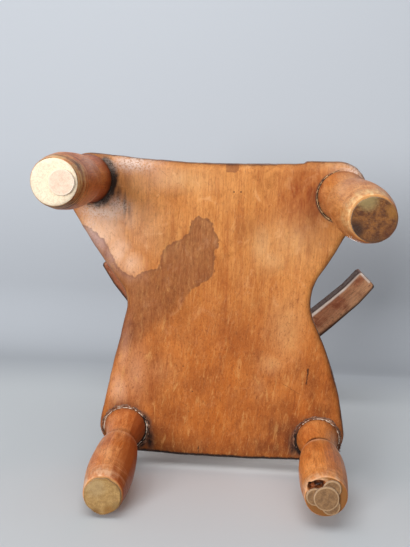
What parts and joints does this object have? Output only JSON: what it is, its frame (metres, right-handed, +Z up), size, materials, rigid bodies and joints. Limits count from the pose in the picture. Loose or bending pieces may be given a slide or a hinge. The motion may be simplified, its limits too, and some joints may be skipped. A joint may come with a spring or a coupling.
{
  "type": "low carved wooden chair",
  "caption": "Low wooden chair: a waisted, dished seat board on stubby wedged barrel legs with felt pads, and a boomerang back rail on a splat and posts.",
  "frame": {"origin": "on the floor, under the middle of the chair's bounding box", "axes": "+Z up, -Y out of the seat's front edge, +X to the right as seen from in front of the chair; left and right in the node names are seen from there too"},
  "size_m": [0.4657, 0.431, 0.531],
  "materials": {
    "seat_wood": "worn honey-brown wood, stained and bare below, dark and polished above",
    "leg_wood": "satin varnish over hand-worked wood",
    "back_wood": "dark polished wood",
    "peg_wood": "worn flush end grain",
    "felt": "trodden felt"
  },
  "bodies": {
    "root": {"seat_board": "seat_wood", "front_left_leg": "leg_wood", "front_right_leg": "leg_wood", "rear_left_leg": "leg_wood", "rear_right_leg": "leg_wood", "front_left_leg_wedge": "peg_wood", "front_right_leg_wedge": "peg_wood", "rear_left_leg_wedge": "peg_wood", "rear_right_leg_wedge": "peg_wood", "front_left_felt_pad": "felt", "front_right_felt_pad": "felt", "rear_left_felt_pad": "felt", "rear_right_felt_pad": "felt", "rear_right_small_felt_pads": "felt", "back_splat": "back_wood", "left_post": "back_wood", "right_post": "back_wood", "left_arm": "back_wood", "right_arm": "back_wood", "crest": "back_wood", "left_inner_lap_peg": "peg_wood", "left_outer_lap_peg": "peg_wood", "right_inner_lap_peg": "peg_wood", "right_outer_lap_peg": "peg_wood"}
  },
  "joints": []
}
